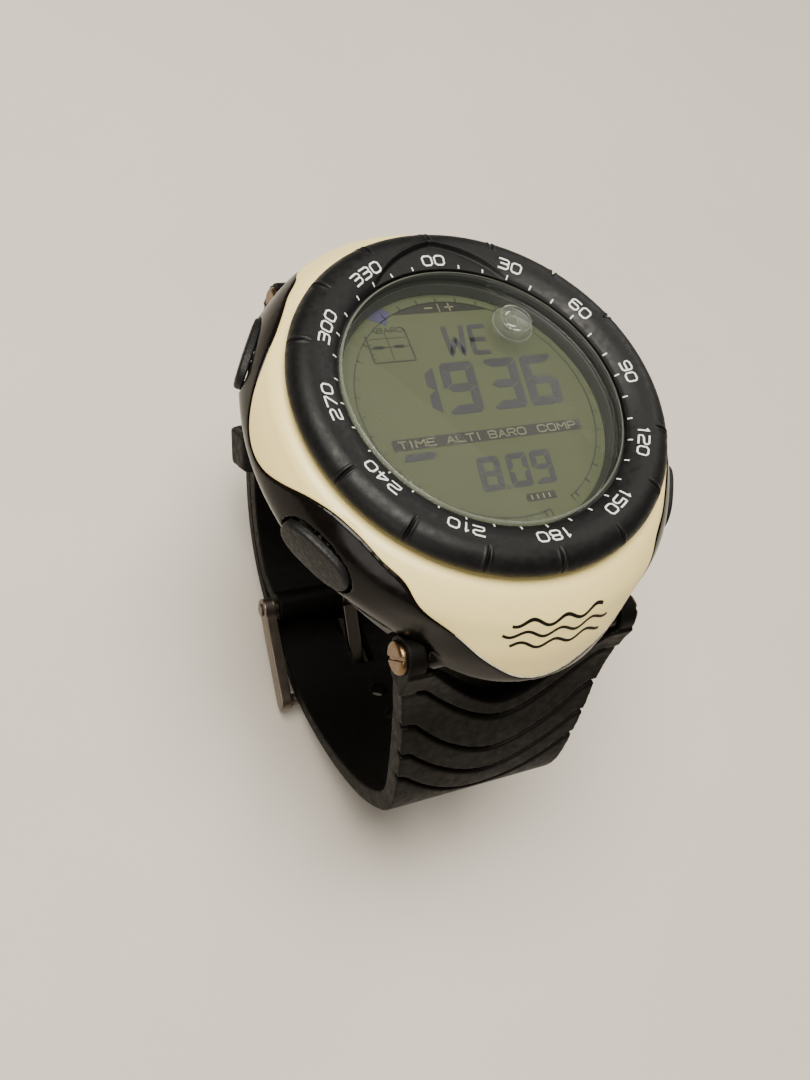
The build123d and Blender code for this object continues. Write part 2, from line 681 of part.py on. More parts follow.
save(strap_long(), "strap_long")
save(strap_short(), "strap_short")
save(lug_tube(-1), "lug_tube_6")
save(lug_tube(1), "lug_tube_12")
save(lug_screws(-1), "lug_screws_6")
save(lug_screws(1), "lug_screws_12")
save(buckle_bar(), "buckle_bar")
save(buckle_frame(), "buckle_frame")
save(buckle_tongue(), "buckle_tongue")
save(strap_keeper(), "strap_keeper")
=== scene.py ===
import json
import math

import bmesh
import bpy
import numpy as np
from mathutils import Matrix, Vector


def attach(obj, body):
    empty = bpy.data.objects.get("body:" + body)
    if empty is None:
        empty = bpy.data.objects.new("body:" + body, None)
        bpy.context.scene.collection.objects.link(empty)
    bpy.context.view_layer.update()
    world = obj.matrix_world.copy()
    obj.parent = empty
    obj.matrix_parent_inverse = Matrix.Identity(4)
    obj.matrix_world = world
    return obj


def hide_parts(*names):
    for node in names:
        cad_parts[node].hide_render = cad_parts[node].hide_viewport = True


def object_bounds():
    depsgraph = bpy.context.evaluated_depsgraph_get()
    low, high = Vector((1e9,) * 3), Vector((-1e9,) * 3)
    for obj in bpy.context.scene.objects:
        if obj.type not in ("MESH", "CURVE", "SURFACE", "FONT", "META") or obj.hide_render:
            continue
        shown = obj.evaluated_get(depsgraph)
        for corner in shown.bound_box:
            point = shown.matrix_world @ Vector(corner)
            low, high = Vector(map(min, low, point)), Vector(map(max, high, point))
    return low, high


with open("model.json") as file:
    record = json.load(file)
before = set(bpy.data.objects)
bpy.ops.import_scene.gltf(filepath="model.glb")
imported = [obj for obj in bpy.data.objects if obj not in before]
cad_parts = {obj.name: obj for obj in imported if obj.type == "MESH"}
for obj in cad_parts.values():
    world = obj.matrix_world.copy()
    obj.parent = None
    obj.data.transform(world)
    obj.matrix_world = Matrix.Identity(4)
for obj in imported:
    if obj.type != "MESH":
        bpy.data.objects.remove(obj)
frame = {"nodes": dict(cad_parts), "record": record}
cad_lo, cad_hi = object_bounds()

MM = 0.001
scene = bpy.context.scene
nodes = frame["nodes"]

# ---------------------------------------------------------------- materials
NOISE_LOW, NOISE_HIGH = 0.3, 0.7   # the part of the noise's range that the mottle spreads over
RELIEF_DEPTH = 0.0002


def rgb(r, g, b):
    """sRGB 0-255 to linear."""
    out = []
    for v in (r, g, b):
        v = v / 255.0
        out.append(v / 12.92 if v <= 0.04045 else ((v + 0.055) / 1.055) ** 2.4)
    return (*out, 1.0)


def material(name, color, rough, metallic=0.0, mottle=0.06, mottle_scale=300.0, bump=0.02,
             bump_scale=900.0, rough_var=0.08, coat=0.0, coat_rough=0.1, specular=0.5, alpha=1.0,
             ior=1.45):
    """A moulded or machined surface: mottled colour, uneven roughness and fine relief."""
    m = bpy.data.materials.new(name)
    m.use_nodes = True
    t = m.node_tree
    b = t.nodes["Principled BSDF"]
    coord = t.nodes.new("ShaderNodeTexCoord")
    n1 = t.nodes.new("ShaderNodeTexNoise")
    n1.inputs["Scale"].default_value = mottle_scale
    n1.inputs["Detail"].default_value = 5.0
    n1.inputs["Roughness"].default_value = 0.6
    t.links.new(coord.outputs["Object"], n1.inputs["Vector"])
    ramp = t.nodes.new("ShaderNodeValToRGB")
    ramp.color_ramp.elements[0].position = NOISE_LOW
    ramp.color_ramp.elements[1].position = NOISE_HIGH
    ramp.color_ramp.elements[0].color = (*[v * (1 - mottle) for v in color[:3]], 1)
    ramp.color_ramp.elements[1].color = (*[min(1, v * (1 + mottle)) for v in color[:3]], 1)
    t.links.new(n1.outputs["Fac"], ramp.inputs["Fac"])
    t.links.new(ramp.outputs["Color"], b.inputs["Base Color"])
    n2 = t.nodes.new("ShaderNodeTexNoise")
    n2.inputs["Scale"].default_value = mottle_scale * 2.3
    n2.inputs["Detail"].default_value = 4.0
    t.links.new(coord.outputs["Object"], n2.inputs["Vector"])
    mr = t.nodes.new("ShaderNodeMapRange")
    mr.inputs["From Min"].default_value = NOISE_LOW
    mr.inputs["From Max"].default_value = NOISE_HIGH
    mr.inputs["To Min"].default_value = max(0.0, rough - rough_var)
    mr.inputs["To Max"].default_value = min(1.0, rough + rough_var)
    t.links.new(n2.outputs["Fac"], mr.inputs["Value"])
    t.links.new(mr.outputs["Result"], b.inputs["Roughness"])
    if bump > 0:
        n3 = t.nodes.new("ShaderNodeTexNoise")
        n3.inputs["Scale"].default_value = bump_scale
        n3.inputs["Detail"].default_value = 3.0
        t.links.new(coord.outputs["Object"], n3.inputs["Vector"])
        bp = t.nodes.new("ShaderNodeBump")
        bp.inputs["Strength"].default_value = bump
        bp.inputs["Distance"].default_value = RELIEF_DEPTH
        t.links.new(n3.outputs["Fac"], bp.inputs["Height"])
        t.links.new(bp.outputs["Normal"], b.inputs["Normal"])
    b.inputs["Metallic"].default_value = metallic
    b.inputs["Specular IOR Level"].default_value = specular
    b.inputs["Coat Weight"].default_value = coat
    b.inputs["Coat Roughness"].default_value = coat_rough
    b.inputs["Alpha"].default_value = alpha
    b.inputs["IOR"].default_value = ior
    if alpha < 1.0:
        m.surface_render_method = "BLENDED"
    return m


MATS = {
    "case_plastic": material("case_plastic", rgb(8, 5, 3), 0.19, mottle=0.2, bump=0.02, coat=0.0,
                             coat_rough=0.08, specular=0.24, rough_var=0.06),
    "cover_paint": material("cover_paint", rgb(250, 228, 152), 0.38, mottle=0.025, mottle_scale=120,
                            bump=0.015, bump_scale=1500, coat=0.25, coat_rough=0.2, rough_var=0.05),
    "bezel_plastic": material("bezel_plastic", rgb(8, 8, 8), 0.47, mottle=0.14, mottle_scale=500,
                              specular=0.30, bump=0.08, bump_scale=2600, rough_var=0.1),
    "spring_steel": material("spring_steel", rgb(190, 190, 192), 0.28, metallic=1.0, mottle=0.05),
    "white_plastic": material("white_plastic", rgb(222, 222, 214), 0.45, mottle=0.03),
    "seal_rubber": material("seal_rubber", rgb(28, 28, 28), 0.7, mottle=0.1, bump=0.08),
    "ring_plastic": material("ring_plastic", rgb(26, 26, 24), 0.35, mottle=0.08, bump=0.02),
    "lcd_glass": material("lcd_glass", rgb(68, 73, 50), 0.5, specular=0.2, mottle=0.035, mottle_scale=90,
                          bump=0.004, rough_var=0.05),
    "backlight_film": material("backlight_film", rgb(206, 220, 208), 0.5, mottle=0.03),
    "contact_rubber": material("contact_rubber", rgb(130, 122, 118), 0.6, mottle=0.15, mottle_scale=1500),
    "board_green": material("board_green", rgb(30, 110, 58), 0.4, mottle=0.12, mottle_scale=900, bump=0.05),
    "chip_black": material("chip_black", rgb(34, 34, 36), 0.5, mottle=0.1, mottle_scale=2000),
    "can_metal": material("can_metal", rgb(205, 200, 188), 0.3, metallic=1.0, mottle=0.05),
    "coil_copper": material("coil_copper", rgb(196, 122, 78), 0.35, metallic=1.0, mottle=0.15,
                            mottle_scale=3000),
    "cell_steel": material("cell_steel", rgb(206, 206, 208), 0.25, metallic=1.0, mottle=0.04),
    "back_plastic": material("back_plastic", rgb(44, 44, 45), 0.42, mottle=0.1, bump=0.05, bump_scale=2200),
    "screw_steel": material("screw_steel", rgb(112, 90, 66), 0.30, metallic=1.0, mottle=0.05, rough_var=0.06),
    "strap_rubber": material("strap_rubber", rgb(6, 4, 2), 0.56, specular=0.13, mottle=0.14,
                             mottle_scale=420, bump=0.035, bump_scale=2400, rough_var=0.1),
    "buckle_steel": material("buckle_steel", rgb(122, 112, 101), 0.37, metallic=1.0, mottle=0.03,
                             rough_var=0.04, bump=0.01),
    "button_rubber": material("button_rubber", rgb(10, 9, 8), 0.5, specular=0.32, mottle=0.12,
                              mottle_scale=700, bump=0.35, bump_scale=2600),
    "crystal_clear": material("crystal_clear", rgb(120, 126, 118), 0.03, mottle=0.01, bump=0.0,
                              rough_var=0.01, alpha=0.05, ior=1.5, specular=0.5),
    "vial_clear": material("vial_clear", rgb(150, 156, 146), 0.05, mottle=0.01, bump=0.0, rough_var=0.01,
                           alpha=0.10, ior=1.5, specular=0.9),
    "level_liquid": material("level_liquid", rgb(120, 128, 96), 0.08, mottle=0.03, bump=0.0, rough_var=0.02,
                             alpha=0.10, ior=1.4),
}
SLOTS = {s["node"]: s["material_slot"] for s in frame["record"]["subparts"]}
for node_name, node in nodes.items():
    chosen = MATS[SLOTS[node_name]]
    node.data.materials.clear()
    node.data.materials.append(chosen)

INK = material("lcd_ink", rgb(34, 33, 39), 0.4, mottle=0.05, mottle_scale=800, bump=0.0)
INK_DARK = material("lcd_bar", rgb(25, 24, 18), 0.4, mottle=0.05, mottle_scale=800, bump=0.0)
INK_LINE = material("lcd_line", rgb(30, 30, 22), 0.4, mottle=0.05, mottle_scale=800, bump=0.0)
INK_VIOLET = material("lcd_marker", rgb(50, 47, 80), 0.4, mottle=0.05, mottle_scale=800, bump=0.0)
LCD_LIGHT = material("lcd_letters", rgb(98, 98, 74), 0.4, mottle=0.05, mottle_scale=800, bump=0.0)
WHITE_PRINT = material("white_print", rgb(228, 228, 222), 0.4, mottle=0.03, mottle_scale=1200, bump=0.03)
BLACK_PRINT = material("black_print", rgb(26, 25, 25), 0.35, mottle=0.08, mottle_scale=1500, bump=0.03)


# ---------------------------------------------------------------- mesh helpers
def new_object(name, verts, faces, mat, body, smooth=True):
    me = bpy.data.meshes.new(name)
    me.from_pydata([tuple(v) for v in verts], [], faces)
    me.update()
    bm = bmesh.new()
    bm.from_mesh(me)
    bmesh.ops.recalc_face_normals(bm, faces=bm.faces)
    bm.to_mesh(me)
    bm.free()
    if smooth:
        for p in me.polygons:
            p.use_smooth = True
    o = bpy.data.objects.new(name, me)
    scene.collection.objects.link(o)
    me.materials.append(mat)
    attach(o, body)
    return o


# ---------------------------------------------------------------- camera, floor, light
CAM = Vector((-64.27, -58.70, 106.12)) * MM
RIGHT = Vector((0.8932965, -0.3214963, 0.3141042))
UP = Vector((0.1487577, 0.8709242, 0.4683612))
BACK = Vector((-0.4241374, -0.3716600, 0.8258186))
cam_data = bpy.data.cameras.new("camera")
cam_data.sensor_width = 36.0
cam_data.lens = 35.785
cam_data.clip_start = 0.005
cam_data.clip_end = 20.0
cam = bpy.data.objects.new("camera", cam_data)
scene.collection.objects.link(cam)
turn = Matrix((RIGHT, UP, BACK)).transposed()
cam.matrix_world = Matrix.Translation(CAM) @ turn.to_4x4()
scene.camera = cam


def area_light(name, at, target, size, power, color=(1, 1, 1)):
    d = bpy.data.lights.new(name, "AREA")
    d.shape = "DISK"
    d.size = size
    d.energy = power
    d.color = color
    o = bpy.data.objects.new(name, d)
    scene.collection.objects.link(o)
    o.location = at
    o.rotation_mode = "QUATERNION"
    o.rotation_quaternion = (Vector(target) - Vector(at)).to_track_quat("-Z", "Y")
    return o


AIM = Vector((0, 0, 0))
area_light("key", Vector((-0.10, 0.06, 0.55)), AIM, 0.42, 7.2, (1.0, 0.955, 0.86))
area_light("fill", Vector((-0.45, -0.35, 0.30)), AIM, 0.40, 1.3, (1.0, 0.96, 0.90))
area_light("right", Vector((0.45, 0.30, 0.35)), AIM, 0.30, 1.0, (1.0, 0.96, 0.90))

world = bpy.data.worlds.new("studio")
scene.world = world
world.use_nodes = True
world.node_tree.nodes["Background"].inputs["Color"].default_value = (0.92, 0.88, 0.82, 1)
world.node_tree.nodes["Background"].inputs["Strength"].default_value = 0.22

FLOOR_GAP = 0.0004
FLOOR_HALF = 1.5
floor_z = cad_lo.z - FLOOR_GAP
fv = [(x * FLOOR_HALF, y * FLOOR_HALF, floor_z) for x, y in ((-1, -1), (1, -1), (1, 1), (-1, 1))]
floor_me = bpy.data.meshes.new("floor")
floor_me.from_pydata(fv, [], [(0, 1, 2, 3)])
floor = bpy.data.objects.new("floor", floor_me)
scene.collection.objects.link(floor)
floor_me.materials.append(material("floor_pale", rgb(208, 200, 188), 0.7, mottle=0.02, mottle_scale=20,
                                   bump=0.0))

# ---------------------------------------------------------------- case envelope
ENV_Z = [0.0, 1.0, 3.0, 5.0, 6.3, 8.0, 9.4, 10.4, 11.1, 11.7]
ENV_SIDE = [24.4, 25.1, 26.4, 27.2, 27.2, 26.75, 26.2, 25.65, 25.2, 24.4]
ENV_END = [31.5, 31.4, 30.9, 30.3, 29.7, 28.65, 27.7, 26.6, 25.6, 24.6]
ENV_WAIST = [0.2, 0.6, 1.0, 1.3, 0.9, 0.1, 0.0, 0.0, 0.0, 0.0]   # flank pulled in beside each lug
WAIST_AT, WAIST_SPAN = 34.0, 11.0   # degrees from the 12 and 6 o'clock axis
WAVE = [(0.0, 6.3), (3.4, 7.1), (6.0, 8.6), (8.1, 9.85), (10.7, 10.85), (13.6, 11.1),
        (16.1, 10.9), (18.2, 10.5), (20.8, 9.9), (23.2, 8.5), (25.4, 7.3), (27.4, 6.0),
        (29.7, 3.6), (30.9, 1.8), (31.7, 0.7), (34.0, -3.0)]


def smooth_table(xs, ys, even=False):
    """Dense smooth curve through points: natural cubic spline, returned as a function."""
    x = np.array(xs, float)
    y = np.array(ys, float)
    if even:
        x = np.concatenate([-x[:0:-1], x])
        y = np.concatenate([y[:0:-1], y])
    n = len(x)
    h = np.diff(x)
    a = np.zeros((n, n))
    r = np.zeros(n)
    a[0, 0] = a[-1, -1] = 1.0
    for i in range(1, n - 1):
        a[i, i - 1] = h[i - 1]
        a[i, i] = 2 * (h[i - 1] + h[i])
        a[i, i + 1] = h[i]
        r[i] = 3 * ((y[i + 1] - y[i]) / h[i] - (y[i] - y[i - 1]) / h[i - 1])
    c = np.linalg.solve(a, r)
    d = (c[1:] - c[:-1]) / (3 * h)
    b = (y[1:] - y[:-1]) / h - h * (2 * c[:-1] + c[1:]) / 3

    def f(q):
        q = np.asarray(q, float)
        i = np.clip(np.searchsorted(x, q) - 1, 0, n - 2)
        t = q - x[i]
        return y[i] + b[i] * t + c[i] * t ** 2 + d[i] * t ** 3
    return f


env_side = smooth_table(ENV_Z, ENV_SIDE)
env_end = smooth_table(ENV_Z, ENV_END)
env_waist = smooth_table(ENV_Z, ENV_WAIST)
wave = smooth_table([p[0] for p in WAVE], [p[1] for p in WAVE], even=True)


def env(a, z):
    power = 1.0 + np.maximum(0.0, 5.0 - z) / 5.0
    off_axis = np.degrees(np.arccos(np.clip(np.abs(np.sin(a)), 0.0, 1.0)))
    pull = env_waist(z) * np.exp(-((off_axis - WAIST_AT) / WAIST_SPAN) ** 2)
    return env_side(z) + (env_end(z) - env_side(z)) * (np.sin(a) ** 2) ** power - pull


def wave_height(a):
    """Height at which the cover's lower edge crosses the envelope, at each angle."""
    lo = np.full(a.shape, 0.2)
    hi = np.full(a.shape, 11.4)
    for _ in range(40):
        mid = (lo + hi) / 2
        f = mid - wave(np.abs(env(a, mid) * np.sin(a)))
        hi = np.where(f > 0, mid, hi)
        lo = np.where(f > 0, lo, mid)
    return (lo + hi) / 2


def grid_faces(rows, cols, wrap_rows=True, wrap_cols=False, flip=False):
    faces = []
    for i in range(rows if wrap_rows else rows - 1):
        i2 = (i + 1) % rows
        for j in range(cols if wrap_cols else cols - 1):
            j2 = (j + 1) % cols
            q = (i * cols + j, i2 * cols + j, i2 * cols + j2, i * cols + j2)
            faces.append(q if not flip else q[::-1])
    return faces


# ---------------------------------------------------------------- cream cover
def make_cover():
    n = 900
    a = np.linspace(0, 2 * np.pi, n, endpoint=False)
    zw = wave_height(a) + 0.04
    edge = [(0.30, 1.18), (0.04, 1.15), (0.0, 0.85), (0.0, 0.42), (0.03, 0.24), (0.10, 0.10), (0.20, 0.03)]
    cols = []
    for dz, inset in edge:
        z = zw + dz
        cols.append(((env(a, z) - inset), z))
    top = 11.30
    for t in np.linspace(0, 1, 34):
        z0 = zw + 0.34
        z = z0 + (np.maximum(top - z0, 0.0)) * t
        cols.append((env(a, z), z))
    for z1, inset in ((11.42, 0.05), (11.52, 0.14), (11.60, 0.28), (11.66, 0.46), (11.70, 0.75)):
        cols.append((env(a, np.full(n, z1)) - inset, np.maximum(np.full(n, z1), zw + 0.4)))
    for r in (22.9, 21.8, 20.9, 20.3):
        cols.append((np.full(n, r), np.full(n, 11.70)))
    cols.append((np.full(n, 20.22), np.full(n, 11.6)))
    cols.append((np.full(n, 20.22), np.full(n, 10.8)))
    verts = []
    for i in range(n):
        ca, sa = math.cos(a[i]), math.sin(a[i])
        for r, z in cols:
            verts.append((r[i] * ca * MM, r[i] * sa * MM, z[i] * MM))
    o = new_object("cover_shell", verts, grid_faces(n, len(cols)), MATS["cover_paint"], "case")
    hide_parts("top_cover")


make_cover()


# ---------------------------------------------------------------- bezel
BEZEL_TOP = [(18.1, 13.92), (18.3, 14.12), (18.7, 14.36), (19.3, 14.60), (20.1, 14.84), (21.0, 14.98),
             (21.7, 15.0), (22.4, 14.86), (23.0, 14.56), (23.45, 14.14), (23.78, 13.6), (23.88, 13.05),
             (23.72, 12.55), (23.3, 12.2), (22.7, 12.1)]
GRIP_ANGLES = [22.5 * k for k in range(16) if k not in (4, 12)]   # none at 3 and 9 o'clock
ARCH_HALF_DEG, ARCH_FOOT_R, ARCH_RISE = 30.0, 18.2, 3.3


def resample(points, step):
    """Catmull-Rom through the points, sampled evenly."""
    p = np.array(points, float)
    out = []
    for i in range(len(p) - 1):
        p0 = p[max(i - 1, 0)]
        p1, p2 = p[i], p[i + 1]
        p3 = p[min(i + 2, len(p) - 1)]
        for t in np.linspace(0, 1, 24, endpoint=False):
            out.append(0.5 * ((2 * p1) + (p2 - p0) * t + (2 * p0 - 5 * p1 + 4 * p2 - p3) * t ** 2
                              + (3 * p1 - p0 - 3 * p2 + p3) * t ** 3))
    out.append(p[-1])
    out = np.array(out)
    s = np.concatenate([[0], np.cumsum(np.linalg.norm(np.diff(out, axis=0), axis=1))])
    n = max(2, int(round(s[-1] / step)) + 1)
    q = np.linspace(0, s[-1], n)
    return np.stack([np.interp(q, s, out[:, k]) for k in range(out.shape[1])], 1)


BEZEL_LINE = resample(BEZEL_TOP, 0.11)
TOP_PART = BEZEL_LINE[:int(np.argmax(BEZEL_LINE[:, 0]))]


def step01(x):
    x = np.clip(x, 0, 1)
    return x * x * (3 - 2 * x)


def arch_edge(deg):
    """Outer radius of the recessed pointed arch at 12 o'clock; deg is from 12 o'clock."""
    u = np.abs(deg) / ARCH_HALF_DEG
    return np.where(u < 1, ARCH_FOOT_R + ARCH_RISE * (1 - u) * (1 + 0.35 * u), ARCH_FOOT_R)


def bezel_z(r, deg):
    """Height of the bezel's top surface at a radius and a clockwise angle from 12 o'clock."""
    base = np.interp(r, TOP_PART[:, 0], TOP_PART[:, 1])
    d = (np.asarray(deg) + 180.0) % 360.0 - 180.0
    edge = arch_edge(np.asarray(d, float))
    low = 13.95 + (r - 18.1) * 0.15
    inside = step01((edge - r) / 0.35 + 0.5)
    ridge = 0.07 * np.exp(-((r - edge - 0.15) / 0.22) ** 2) * (np.abs(d) < 27)
    return base * (1 - inside) + np.minimum(base, low) * inside + ridge


def bezel_point(r, deg, lift=0.0):
    t = math.radians(deg)
    z = float(bezel_z(np.float64(r), np.float64(deg))) + lift
    return (r * math.sin(t) * MM, r * math.cos(t) * MM, z * MM)


def bezel_angles():
    """Even steps, with fine steps across each grip."""
    out = set(round(0.75 * i, 4) for i in range(480))
    for g in GRIP_ANGLES:
        for i in range(-30, 31):
            out.add(round((g + 0.09 * i) % 360.0, 4))
    return sorted(out)


def make_bezel():
    line = BEZEL_LINE
    tangent = np.gradient(line, axis=0)
    tangent /= np.linalg.norm(tangent, axis=1)[:, None]
    normal = np.stack([-tangent[:, 1], tangent[:, 0]], 1)
    k_top = len(TOP_PART)
    tail = [(20.6, 12.1), (20.35, 12.12), (20.02, 12.2), (20.02, 12.5), (20.02, 13.45), (19.0, 13.5),
            (18.12, 13.5), (18.1, 13.7)]
    s_line = np.concatenate([[0], np.cumsum(np.linalg.norm(np.diff(line, axis=0), axis=1))])
    s_in = s_line[int(np.argmax(line[:, 0] > 21.3))]
    i_side = int(np.argmax((line[:, 0] > 23.4) & (line[:, 1] < 13.3)))
    u = np.clip((s_line - s_in) / (s_line[i_side] - s_in), 0, 1)
    window = np.sin(np.pi * u ** 1.35) ** 0.8
    window[u >= 1] = 0.0
    angles = bezel_angles()
    verts = []
    for deg in angles:
        t = math.radians(deg)
        rz = line.copy()
        rz[:k_top, 1] = bezel_z(line[:k_top, 0], deg)
        disp = np.zeros(len(line))
        for g in GRIP_ANGLES:
            d = ((deg - g + 180) % 360 - 180) * math.pi / 180 * 22.8
            if abs(d) < 1.2:
                width = 0.09 + 0.05 * window
                cut = -0.34 * np.exp(-(d / width) ** 2)
                lip = 0.09 * np.exp(-((abs(d) - 0.34) / 0.17) ** 2)
                disp += (cut + lip) * window
        rz = rz + normal * disp[:, None]
        ring = list(map(tuple, rz)) + tail
        st, ct = math.sin(t), math.cos(t)
        for r, z in ring:
            verts.append((r * st * MM, r * ct * MM, z * MM))
    cols = len(line) + len(tail)
    o = new_object("bezel_body", verts, grid_faces(len(angles), cols, True, True), MATS["bezel_plastic"],
                   "bezel")
    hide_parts("bezel_ring")


make_bezel()

# ---------------------------------------------------------------- stroke lettering
DIGITS = {
    "0": [[(0.22, 0), (0.78, 0), (1, 0.2), (1, 0.8), (0.78, 1), (0.22, 1), (0, 0.8), (0, 0.2), (0.22, 0)]],
    "1": [[(0.25, 0.82), (0.55, 1), (0.55, 0)]],
    "2": [[(0, 1), (0.8, 1), (1, 0.85), (1, 0.62), (0.85, 0.5), (0.2, 0.46), (0, 0.32), (0, 0), (1, 0)]],
    "3": [[(0, 1), (0.8, 1), (1, 0.85), (1, 0.62), (0.82, 0.52), (0.2, 0.52)],
          [(0.82, 0.52), (1, 0.38), (1, 0.15), (0.8, 0), (0, 0)]],
    "4": [[(0.75, 0), (0.75, 1), (0, 0.38), (0, 0.28), (1, 0.28)]],
    "5": [[(1, 1), (0, 1), (0, 0.58), (0.8, 0.58), (1, 0.44), (1, 0.15), (0.8, 0), (0, 0)]],
    "6": [[(0.95, 1), (0.2, 1), (0, 0.82), (0, 0.15), (0.2, 0), (0.8, 0), (1, 0.15), (1, 0.42), (0.8, 0.56),
           (0, 0.56)]],
    "7": [[(0, 1), (1, 1), (1, 0.86), (0.35, 0)]],
    "8": [[(0.2, 0.54), (0.05, 0.68), (0.05, 0.86), (0.22, 1), (0.78, 1), (0.95, 0.86), (0.95, 0.68),
           (0.8, 0.54), (0.2, 0.54), (0, 0.38), (0, 0.16), (0.2, 0), (0.8, 0), (1, 0.16), (1, 0.38),
           (0.8, 0.54)]],
    "9": [[(0.05, 0), (0.8, 0), (1, 0.18), (1, 0.85), (0.8, 1), (0.2, 1), (0, 0.85), (0, 0.58), (0.2, 0.44),
           (1, 0.44)]],
    "T": [[(0, 1), (1, 1)], [(0.5, 1), (0.5, 0)]],
    "I": [[(0.5, 0), (0.5, 1)]],
    "M": [[(0, 0), (0, 1), (0.5, 0.4), (1, 1), (1, 0)]],
    "E": [[(1, 1), (0, 1), (0, 0), (1, 0)], [(0, 0.5), (0.85, 0.5)]],
    "A": [[(0, 0), (0.5, 1), (1, 0)], [(0.2, 0.34), (0.8, 0.34)]],
    "L": [[(0, 1), (0, 0), (1, 0)]],
    "B": [[(0, 0), (0, 1), (0.82, 1), (1, 0.85), (1, 0.64), (0.82, 0.52), (0, 0.52)],
          [(0.82, 0.52), (1, 0.38), (1, 0.15), (0.82, 0), (0, 0)]],
    "R": [[(0, 0), (0, 1), (0.82, 1), (1, 0.85), (1, 0.6), (0.82, 0.45), (0, 0.45)], [(0.5, 0.45), (1, 0)]],
    "O": [[(0.2, 0), (0.8, 0), (1, 0.2), (1, 0.8), (0.8, 1), (0.2, 1), (0, 0.8), (0, 0.2), (0.2, 0)]],
    "C": [[(1, 0.82), (0.82, 1), (0.18, 1), (0, 0.82), (0, 0.18), (0.18, 0), (0.82, 0), (1, 0.18)]],
    "P": [[(0, 0), (0, 1), (0.82, 1), (1, 0.85), (1, 0.6), (0.82, 0.45), (0, 0.45)]],
    "W": [[(0, 1), (0.15, 0), (0.5, 0.6), (0.85, 0), (1, 1)]],
}


def stroke_quads(points, half, step=0.25):
    """A ribbon along a polyline with square ends; returns rows of left and right points."""
    p = np.array(points, float)
    dense = []
    for a, b in zip(p[:-1], p[1:]):
        m = max(1, int(np.linalg.norm(b - a) / step))
        for t in np.linspace(0, 1, m, endpoint=False):
            dense.append(a + (b - a) * t)
    dense.append(p[-1])
    d = np.array(dense)
    closed = np.linalg.norm(d[0] - d[-1]) < 1e-6
    t = np.gradient(d, axis=0)
    if closed:
        t[0] = t[-1] = (d[1] - d[-2]) / 2
    t /= np.linalg.norm(t, axis=1)[:, None]
    if not closed:
        d[0] = d[0] - t[0] * half
        d[-1] = d[-1] + t[-1] * half
    nrm = np.stack([-t[:, 1], t[:, 0]], 1)
    return d + nrm * half, d - nrm * half


class Print:
    """Collects flat printed shapes and maps them onto a surface."""

    def __init__(self, place):
        self.place = place
        self.verts = []
        self.faces = []

    def ribbon(self, points, half, step=0.25):
        left, right = stroke_quads(points, half, step)
        base = len(self.verts)
        for a, b in zip(left, right):
            self.verts.append(self.place(a[0], a[1]))
            self.verts.append(self.place(b[0], b[1]))
        for i in range(len(left) - 1):
            k = base + 2 * i
            self.faces.append((k, k + 1, k + 3, k + 2))

    def polygon(self, points):
        base = len(self.verts)
        for x, y in points:
            self.verts.append(self.place(x, y))
        self.faces.append(tuple(range(base, base + len(points))))

    def text(self, word, x, y, w, h, gap, half, slant=0.0, narrow=None):
        for ch in word:
            cw = w * (narrow or {}).get(ch, 1.0)
            for path in DIGITS.get(ch, []):
                self.ribbon([(x + px * cw + slant * py * h, y + py * h) for px, py in path], half)
            x += cw + gap
        return x

    def build(self, name, mat, body, thickness=0.03):
        o = new_object(name, self.verts, self.faces, mat, body, smooth=False)
        bm = bmesh.new()
        bm.from_mesh(o.data)
        up = Vector((0, 0, 1))
        for f in bm.faces:
            if f.normal.dot(up) < 0:
                f.normal_flip()
        ret = bmesh.ops.extrude_face_region(bm, geom=list(bm.faces))
        moved = [g for g in ret["geom"] if isinstance(g, bmesh.types.BMVert)]
        bmesh.ops.translate(bm, verts=moved, vec=(0, 0, thickness * MM))
        bmesh.ops.recalc_face_normals(bm, faces=bm.faces)
        bm.to_mesh(o.data)
        bm.free()
        return o


def make_bezel_print():
    h, w, gap = 1.27, 1.24, 0.44
    narrow = {"1": 0.62}
    verts, faces = [], []
    for k in range(12):
        word = "00" if k == 0 else str(30 * k)
        width = sum(w * narrow.get(c, 1.0) for c in word) + gap * (len(word) - 1)
        centre_r = 19.3 if k == 0 else 19.98

        def place(x, y, k=k, centre_r=centre_r):
            r = centre_r + y
            deg = 30.0 * k + math.degrees(x / centre_r)
            return bezel_point(r, deg, 0.005)
        p = Print(place)
        p.text(word, -width / 2, -h / 2, w, h, gap, 0.105, narrow=narrow)
        base = len(verts)
        verts += p.verts
        faces += [tuple(i + base for i in f) for f in p.faces]
    for k in range(1, 36):
        def place(x, y, k=k):
            r = 18.42 + y
            return bezel_point(r, 10.0 * k + math.degrees(x / r), 0.005)
        p = Print(place)
        p.ribbon([(0, -0.10), (0, 0.22)], 0.085, 0.1)
        base = len(verts)
        verts += p.verts
        faces += [tuple(i + base for i in f) for f in p.faces]
    printed = Print(lambda x, y: (x, y, 0))
    printed.verts = verts
    printed.faces = faces
    printed.build("bezel_degrees", WHITE_PRINT, "bezel", 0.035)


make_bezel_print()

# ---------------------------------------------------------------- display
LCD_TOP = 10.42


def lcd_place(x, y, z=LCD_TOP + 0.02):
    return (x * MM, y * MM, z * MM)


